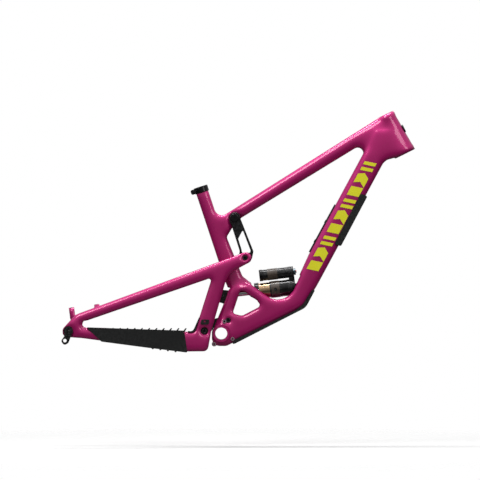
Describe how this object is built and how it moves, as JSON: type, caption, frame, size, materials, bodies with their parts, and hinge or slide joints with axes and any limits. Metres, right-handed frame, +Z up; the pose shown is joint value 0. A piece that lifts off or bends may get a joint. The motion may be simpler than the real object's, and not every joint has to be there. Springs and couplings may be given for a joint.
{
  "type": "bicycle frame",
  "caption": "Full-suspension mountain bicycle frame with twin counter-rotating links, tunnel-mounted air shock, in-tube storage and swinging rear triangle.",
  "frame": {"origin": "centre of the bottom bracket on the frame's middle plane", "axes": "+X towards the front wheel, +Y to the bicycle's left, +Z up; the drive side faces -Y"},
  "size_m": [1.0169, 0.1852, 0.697],
  "materials": {
    "carbon_magenta": "gloss",
    "black_link": "satin anodised",
    "black_anodised": "satin anodised",
    "shock_black": "gloss anodised",
    "bronze_coat": "polished coat",
    "band_dark": "gloss",
    "black_plastic": "matte",
    "black_rubber": "matte",
    "axle_steel": "dark brushed",
    "bearing_steel": "brushed",
    "polished_shaft": "polished",
    "insert_alloy": "satin",
    "lever_blue": "satin",
    "dial_red": "satin"
  },
  "bodies": {
    "front_frame": {"front_triangle": "carbon_magenta", "bracket_sleeve": "carbon_magenta", "upper_headset_seat": "insert_alloy", "lower_headset_seat": "insert_alloy", "head_badge": "black_anodised", "seat_collar": "black_anodised", "seat_clamp_bolt": "axle_steel", "down_tube_guard": "black_rubber", "shuttle_guard": "black_rubber", "tab_inserts": "insert_alloy", "cable_ports": "black_rubber", "door_hinge_pin": "axle_steel", "upper_frame_bearings": "black_anodised", "lower_frame_axle": "axle_steel", "front_spacers": "black_anodised", "shock_bolt": "axle_steel"},
    "storage_lid": {"storage_door": "black_plastic", "bottle_bolts": "axle_steel", "door_seal": "black_rubber"},
    "lid_latch": {"storage_latch": "black_plastic"},
    "lower_rocker": {"lower_link": "black_link", "lower_frame_bearings": "black_anodised", "lower_arm_axle": "axle_steel", "rear_eye_screws": "axle_steel"},
    "rear_swingarm": {"swingarm": "carbon_magenta", "chainstay_protector": "black_rubber", "strut_protector": "black_rubber", "cable_grommet": "black_rubber", "rear_axle": "axle_steel", "derailleur_hanger": "black_anodised", "hanger_nut": "black_anodised", "brake_inserts": "insert_alloy", "arm_pivot_screws": "axle_steel", "lower_arm_bearings": "black_anodised"},
    "upper_rocker": {"upper_link": "black_link", "upper_frame_axle": "axle_steel", "upper_frame_caps": "black_anodised", "upper_arm_axle": "axle_steel", "upper_arm_bearings": "black_anodised"},
    "shock_body": {"shock_head": "black_anodised", "air_can": "shock_black", "inner_can": "bronze_coat", "can_collar": "black_anodised", "wiper_seal": "black_rubber", "can_band": "band_dark", "air_valve": "black_anodised", "reservoir": "shock_black", "reservoir_cap": "black_anodised", "reservoir_band": "band_dark", "front_bushing": "bearing_steel", "travel_ring": "black_rubber"},
    "shock_shaft": {"damper_shaft": "polished_shaft", "piston": "bearing_steel", "shock_eye": "black_anodised", "rear_bushing": "bearing_steel"},
    "shock_lever": {"climb_lever": "lever_blue"},
    "compression_dial": {"compression_knob": "dial_red"},
    "rebound_dial": {"rebound_knob": "black_plastic"}
  },
  "joints": [
    {"name": "lower_link_pivot", "type": "hinge", "parent": "front_frame", "child": "lower_rocker", "pos_m": [0.02, 0, 0.0385], "axis": [0, 1, 0], "range_deg": [0, 50], "stiffness_Nm_per_rad": 350, "springref_deg": -2.86},
    {"name": "swingarm_pivot", "type": "hinge", "parent": "lower_rocker", "child": "rear_swingarm", "pos_m": [-0.048, 0, 0.008], "axis": [0, 1, 0], "range_deg": [-35.59, 0]},
    {"name": "upper_link_pivot", "type": "hinge", "parent": "front_frame", "child": "upper_rocker", "pos_m": [0.038, 0, 0.333], "axis": [0, 1, 0], "range_deg": [-27.45, 0]},
    {"name": "shock_pivot", "type": "hinge", "parent": "front_frame", "child": "shock_body", "pos_m": [0.228, 0, 0.136], "axis": [0, 1, 0], "range_deg": [-6.34, 0]},
    {"name": "shock_stroke", "type": "slide", "parent": "shock_body", "child": "shock_shaft", "axis": [0.9934, 0, 0.1143], "range_m": [0, 0.05841]},
    {"name": "climb_lever_turn", "type": "hinge", "parent": "shock_body", "child": "shock_lever", "pos_m": [0.21204, 0, 0.17845], "axis": [0.9934, 0, 0.1143], "range_deg": [0, 60]},
    {"name": "compression_turn", "type": "hinge", "parent": "shock_lever", "child": "compression_dial", "pos_m": [0.21204, 0, 0.17845], "axis": [0.9934, 0, 0.1143], "continuous": true},
    {"name": "rebound_turn", "type": "hinge", "parent": "shock_shaft", "child": "rebound_dial", "pos_m": [0.0318, 0, 0.11343], "axis": [0.9934, 0, 0.1143], "continuous": true},
    {"name": "storage_door_hinge", "type": "hinge", "parent": "front_frame", "child": "storage_lid", "pos_m": [0.25696, 0, 0.23696], "axis": [0, -1, 0], "range_deg": [0, 75]},
    {"name": "storage_latch_turn", "type": "hinge", "parent": "storage_lid", "child": "lid_latch", "pos_m": [0.3242, 0, 0.36476], "axis": [0, 1, 0], "range_deg": [0, 100]}
  ],
  "couplings": [
    {"joint": "swingarm_pivot", "follows": "lower_link_pivot", "ratio": -0.7116},
    {"joint": "upper_link_pivot", "follows": "lower_link_pivot", "ratio": -0.549},
    {"joint": "shock_pivot", "follows": "lower_link_pivot", "ratio": -0.1268},
    {"joint": "shock_stroke", "follows": "lower_link_pivot", "m_per_rad": 0.066921}
  ]
}
